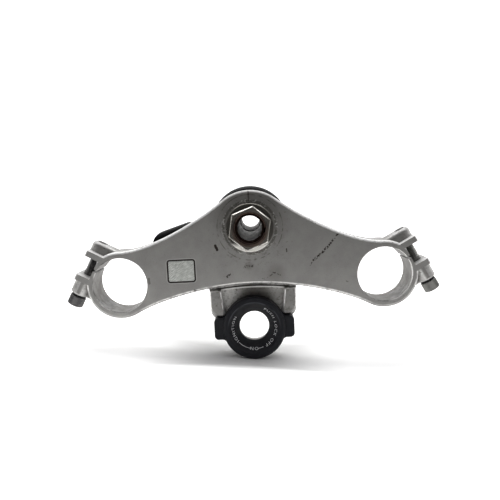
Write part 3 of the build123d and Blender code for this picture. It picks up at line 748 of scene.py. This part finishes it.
# Painted highlight: a broken pale line round the dish's mouth on the rider's side.
colour = lay(tree, colour, mould_highlight, overlap(tree, mouth_highlight, rider_side), 0.3)
rough = shift(tree, mould_rough, mould_grain["Patches"], 0.15)
surface(tree, shader, colour, rough, mould_grain["Tooth"], 0.15)
dress(moulded, "lock_ring")

print_white = (0.8, 0.81, 0.82, 1.0)
print_rubbed = (0.14, 0.14, 0.145, 1.0)
print_lift = 0.00006
printed, tree, shader = new_finish("White print", Roughness=0.55)
print_wear = place_group(tree, grime, Scale=900.0, Amount=0.03)["Dirt"]
tree.links.new(mix_colour(tree, print_wear, print_white, print_rubbed), shader.inputs["Base Color"])


def on_dish(turn, reach):
    """A point just clear of the dished face, by its angle and its distance from the middle of the hole."""
    height = dish_top - (dish_mouth - reach) * dish_slope + print_lift
    return Vector((dish_axis.x + reach * cos(turn), dish_axis.y + reach * sin(turn), height))


letter_size = 0.0034
letter_foot = 0.0164
letter_middle = letter_foot + 0.0015
letter_lean = 0.8
letter_stretch = 1.22
letter_space = 1.3
for word, word_turn in (("IGNITION", 183.0), ("PUSH LOCK", 18.0), ("OFF", -47.0), ("ON", -93.0)):
    name = "print_" + word.lower().replace(" ", "_")
    text = bpy.data.curves.new(name, "FONT")
    text.body = word
    text.size = letter_size
    text.align_x = "CENTER"
    text.resolution_u = 3
    text.space_character = letter_space
    holder = bpy.data.objects.new(name, text)
    bpy.context.scene.collection.objects.link(holder)
    bpy.context.view_layer.update()
    letters = bmesh.new()
    letters.from_mesh(bpy.data.meshes.new_from_object(holder))
    bpy.data.objects.remove(holder)
    bmesh.ops.subdivide_edges(letters, edges=letters.edges, cuts=1)
    for point in letters.verts:
        angle = radians(word_turn) - point.co.x * letter_stretch / letter_middle
        point.co = on_dish(angle, letter_foot + point.co.y * letter_lean)
    keep_piece(name + "_word", letters, printed)

line_rise = 0.35
line_half = 0.00014
line_reach = letter_foot + line_rise * letter_size * letter_lean
for name, start_turn, sweep_turn in (("left", 222.0, 36.0), ("right", 278.0, 14.0)):
    arc = bmesh.new()
    ends = [arc.verts.new(on_dish(radians(start_turn), line_reach + half) - dish_axis)
            for half in (-line_half, line_half)]
    arc_edge = arc.edges.new(ends)
    bmesh.ops.spin(arc, geom=ends + [arc_edge], cent=(0.0, 0.0, 0.0), axis=(0.0, 0.0, 1.0),
                   angle=radians(sweep_turn), steps=24)
    bmesh.ops.translate(arc, verts=arc.verts, vec=dish_axis)
    keep_piece("print_" + name + "_turn_line", arc, printed)


# Bare plate let into the left arm: a thin rectangle of pale alloy, dulled and scratched.
# It is glued in a shallow recess; painted shade on the casting shows as a dark line round it.
bare_dull = (0.42, 0.435, 0.405, 1.0)
bare_bright = (0.8, 0.815, 0.78, 1.0)
bare_grey = (0.54, 0.555, 0.525, 1.0)
bare_dirty = (0.26, 0.255, 0.235, 1.0)
bare_rough = 0.32
rub_turn = (0.0, 0.0, 0.62)
rub_size = (0.0035, 0.0005, 1.0)
bare, tree, shader = new_finish("Bare pale alloy", Metallic=0.75)
bare_patches = place_group(tree, grain, Scale=2600.0)["Patches"]
bare_dirt = place_group(tree, grime, Scale=420.0, Amount=0.03)["Dirt"]
along_rubs = add_node(tree, "Mapping", {"Vector": object_place(tree), "Rotation": rub_turn, "Scale": rub_size},
                      vector_type="TEXTURE").outputs[0]
rubs = noise(tree, along_rubs, 1.0, 3.0)["Fac"]
colour = mix_colour(tree, fade(tree, rubs, 0.38, 0.66), bare_dull, bare_bright)
colour = lay(tree, colour, bare_grey, bare_patches, 0.5)
colour = lay(tree, colour, bare_dirty, bare_dirt, 0.7)
surface(tree, shader, colour, shift(tree, bare_rough, rubs, 0.2), rubs, 0.12)
dress(bare, "name_plate")


# Sweep: plain white paper that the part stands on by the rim of its lock surround, curved up behind it.
# The wall of the sweep glows white for the camera and in reflections. The floor is lit from above and keeps the
# part's soft shadow near its foot; away from the foot it glows white as well.
def only(geometry, kind):
    """The items of one kind, points or edges, out of what an operator gives back."""
    return [item for item in geometry if isinstance(item, kind)]


ring_low, ring_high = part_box("lock_ring")
ring_axis = (ring_low + ring_high) / 2.0
ring_axis.z = 0.0
stand_gap = 0.0002
stand_r = (ring_high.y - ring_low.y) / 2.0 + stand_gap
stand_lean = radians(-5.0)
stand_up = Vector((-sin(stand_lean), cos(stand_lean), 0.0))
shade_shift = Vector((-0.012, 0.0, 0.0))
shade_foot = ring_axis - stand_up * stand_r + shade_shift
paper, tree, shader = new_finish("White paper", Roughness=0.9, Specular_IOR_Level=0.1)
shader.inputs["Base Color"].default_value = (0.86, 0.86, 0.855, 1.0)
shader.inputs["Emission Color"].default_value = (1.0, 1.0, 1.0, 1.0)
rays = add_node(tree, "LightPath").outputs
seen = either(tree, rays["Is Camera Ray"], rays["Is Glossy Ray"], rays["Is Transmission Ray"])
from_foot = axes(tree, vectors(tree, "SUBTRACT", object_place(tree), shade_foot))
depth = from_foot["Z"]
beside_foot = fade(tree, maths(tree, "ABSOLUTE", from_foot["X"]), 0.012, 0.1)
before_foot = fade(tree, depth, 0.013, 0.027)
behind_foot = fade(tree, depth, -0.03, -0.075)
on_wall = fade(tree, depth, -0.09, -0.2)
off_foot = either(tree, before_foot, behind_foot, beside_foot)
# Glow: the wall glows fully and the floor glows away from the foot, so the shadow shows only round the foot.
glow = either(tree, maths(tree, "MULTIPLY", off_foot, 0.6), on_wall)
tree.links.new(overlap(tree, seen, glow), shader.inputs["Emission Strength"])
paper_back = add_node(tree, "NewGeometry").outputs["Backfacing"]
from_behind = overlap(tree, paper_back, rays["Is Camera Ray"])
clear = add_node(tree, "BsdfTransparent").outputs[0]
one_sided = add_node(tree, "MixShader", {0: from_behind, 1: shader.outputs[0], 2: clear}).outputs[0]
tree.links.new(one_sided, tree.nodes["Material Output"].inputs["Surface"])

wall_z = cad_box[0][2] - 0.13
wall_rise = 40.0
sweep_r = 0.07
sweep_half = 20.0
near_end = 0.32
sweep_weld = 0.00001
sweep_shape = bmesh.new()
floor_points = [sweep_shape.verts.new((x, -stand_r, near_end)) for x in (-sweep_half, sweep_half)]
drawn = bmesh.ops.extrude_edge_only(sweep_shape, edges=[sweep_shape.edges.new(floor_points)])["geom"]
strip = only(drawn, bmesh.types.BMEdge)
floor_points = only(drawn, bmesh.types.BMVert)
bmesh.ops.translate(sweep_shape, verts=floor_points, vec=(0.0, 0.0, wall_z + sweep_r - near_end))
drawn = bmesh.ops.spin(sweep_shape, geom=floor_points + strip, cent=(0.0, sweep_r - stand_r, wall_z + sweep_r),
                       axis=(1.0, 0.0, 0.0), angle=pi / 2.0, steps=16)["geom_last"]
drawn = bmesh.ops.extrude_edge_only(sweep_shape, edges=only(drawn, bmesh.types.BMEdge))["geom"]
bmesh.ops.translate(sweep_shape, verts=only(drawn, bmesh.types.BMVert), vec=(0.0, wall_rise, 0.0))
bmesh.ops.remove_doubles(sweep_shape, verts=sweep_shape.verts, dist=sweep_weld)
bmesh.ops.rotate(sweep_shape, verts=sweep_shape.verts, matrix=Matrix.Rotation(stand_lean, 3, "Z"))
bmesh.ops.translate(sweep_shape, verts=sweep_shape.verts, vec=ring_axis)
bmesh.ops.recalc_face_normals(sweep_shape, faces=sweep_shape.faces)
sweep_shape.faces.ensure_lookup_table()
if sweep_shape.faces[0].normal.y < 0.0:
    bmesh.ops.reverse_faces(sweep_shape, faces=sweep_shape.faces)
sweep = make_object("white_sweep", sweep_shape, paper)
sweep.data.shade_smooth()


# Light: a wide soft box over the standing part, which whitens the edges that face it, in a pale room that is
# dimmer round the camera.
room_pale = (0.52, 0.52, 0.53, 1.0)
room_dim = (0.17, 0.169, 0.166, 1.0)
world = bpy.data.worlds.new("Studio room")
world.use_nodes = True
bpy.context.scene.world = world
tree = world.node_tree
towards = axes(tree, add_node(tree, "TexCoord").outputs["Generated"])
room = mix_colour(tree, fade(tree, towards["Z"], 0.45, 0.95), room_pale, room_dim)
tree.links.new(room, tree.nodes["Background"].inputs["Color"])

box_place = Vector((0.0, 0.75, -0.12))
box_aim = Vector((0.0, -0.08, -0.02))
lamp = bpy.data.lights.new("overhead_soft_box", "AREA")
lamp.shape = "RECTANGLE"
lamp.size = 1.2
lamp.size_y = 0.2
lamp.energy = 4.4
soft_box = bpy.data.objects.new("overhead_soft_box", lamp)
soft_box.location = box_place
soft_box.rotation_euler = (box_aim - box_place).to_track_quat("-Z", "Y").to_euler()
bpy.context.scene.collection.objects.link(soft_box)


# Camera: straight above the hub and a little behind it, with a lens of medium length.
# It leans a little to one side, as the photograph does.
camera_data = bpy.data.cameras.new("view")
camera_data.sensor_width = 36.0
camera_data.lens = 42.84
camera_data.clip_start = 0.01
camera_place = Vector((0.00467, 0.03038, 0.46348))
ahead = Vector((-0.0114, -0.1032, -0.9946)).normalized()
right = Vector((0.999, -0.0458, -0.0067))
right = (right - ahead * right.dot(ahead)).normalized()
camera_turn = Matrix((right, right.cross(ahead), -ahead)).transposed().to_4x4()
camera = bpy.data.objects.new("view", camera_data)
camera.matrix_world = Matrix.Translation(camera_place) @ camera_turn
bpy.context.scene.collection.objects.link(camera)
bpy.context.scene.camera = camera
bpy.context.scene.view_settings.view_transform = "Standard"
